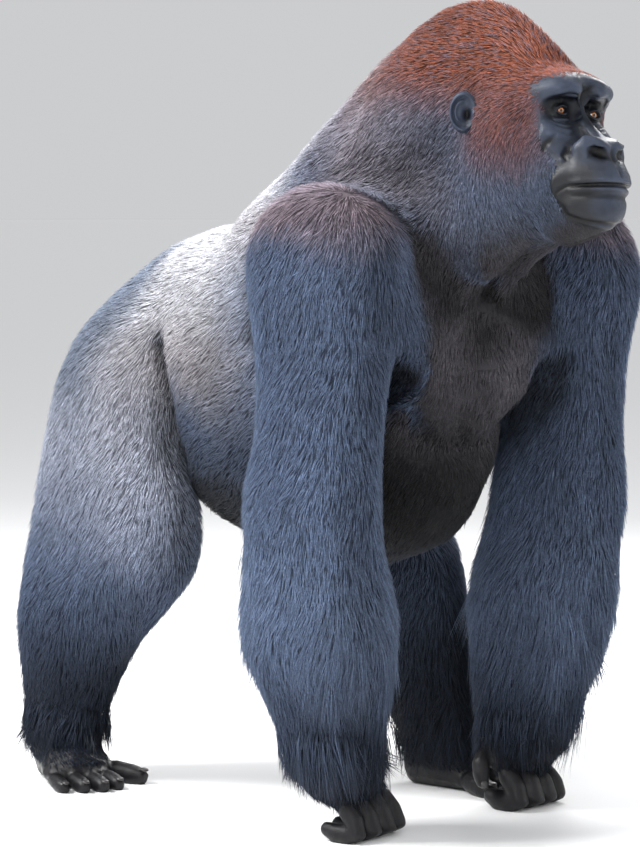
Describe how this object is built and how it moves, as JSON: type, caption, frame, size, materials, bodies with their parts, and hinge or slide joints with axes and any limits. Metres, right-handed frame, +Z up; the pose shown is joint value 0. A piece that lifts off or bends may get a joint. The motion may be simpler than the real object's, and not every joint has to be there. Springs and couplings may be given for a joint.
{
  "type": "life-size gorilla model",
  "caption": "Life-size adult male western lowland gorilla standing on its knuckles and soles, mid-stride, head level, with a silver saddle, russet crown and bare dark face.",
  "frame": {"origin": "on the floor under the middle of the animal's overall box", "axes": "+Z up; the animal faces -Y; +X is its left side"},
  "size_m": [0.8042, 1.344, 1.416],
  "materials": {
    "slate_coat": "matt blue-grey hair",
    "silver_coat": "matt silver-grey hair",
    "russet_coat": "matt chestnut hair",
    "bare_skin": "satin creased bare skin",
    "eye": "wet gloss amber-brown",
    "nail": "satin dark horn"
  },
  "bodies": {
    "root": {"chest": "slate_coat", "belly_and_rump": "silver_coat", "neck": "russet_coat", "head": "russet_coat", "face": "bare_skin", "eye_right": "eye", "ear_right": "bare_skin", "upper_arm_right": "slate_coat", "forearm_right": "slate_coat", "hand_right": "bare_skin", "finger_index_right": "bare_skin", "finger_middle_right": "bare_skin", "finger_ring_right": "bare_skin", "finger_little_right": "bare_skin", "thumb_right": "bare_skin", "nail_thumb_right": "nail", "thigh_right": "silver_coat", "lower_leg_right": "slate_coat", "foot_right": "bare_skin", "toe_big_right": "bare_skin", "nail_toe_big_right": "nail", "toe_second_right": "bare_skin", "nail_toe_second_right": "nail", "toe_third_right": "bare_skin", "nail_toe_third_right": "nail", "toe_fourth_right": "bare_skin", "nail_toe_fourth_right": "nail", "toe_fifth_right": "bare_skin", "nail_toe_fifth_right": "nail", "eye_left": "eye", "ear_left": "bare_skin", "upper_arm_left": "slate_coat", "forearm_left": "slate_coat", "hand_left": "bare_skin", "finger_index_left": "bare_skin", "finger_middle_left": "bare_skin", "finger_ring_left": "bare_skin", "finger_little_left": "bare_skin", "thumb_left": "bare_skin", "nail_thumb_left": "nail", "thigh_left": "silver_coat", "lower_leg_left": "slate_coat", "foot_left": "bare_skin", "toe_big_left": "bare_skin", "nail_toe_big_left": "nail", "toe_second_left": "bare_skin", "nail_toe_second_left": "nail", "toe_third_left": "bare_skin", "nail_toe_third_left": "nail", "toe_fourth_left": "bare_skin", "nail_toe_fourth_left": "nail", "toe_fifth_left": "bare_skin", "nail_toe_fifth_left": "nail"}
  },
  "joints": []
}
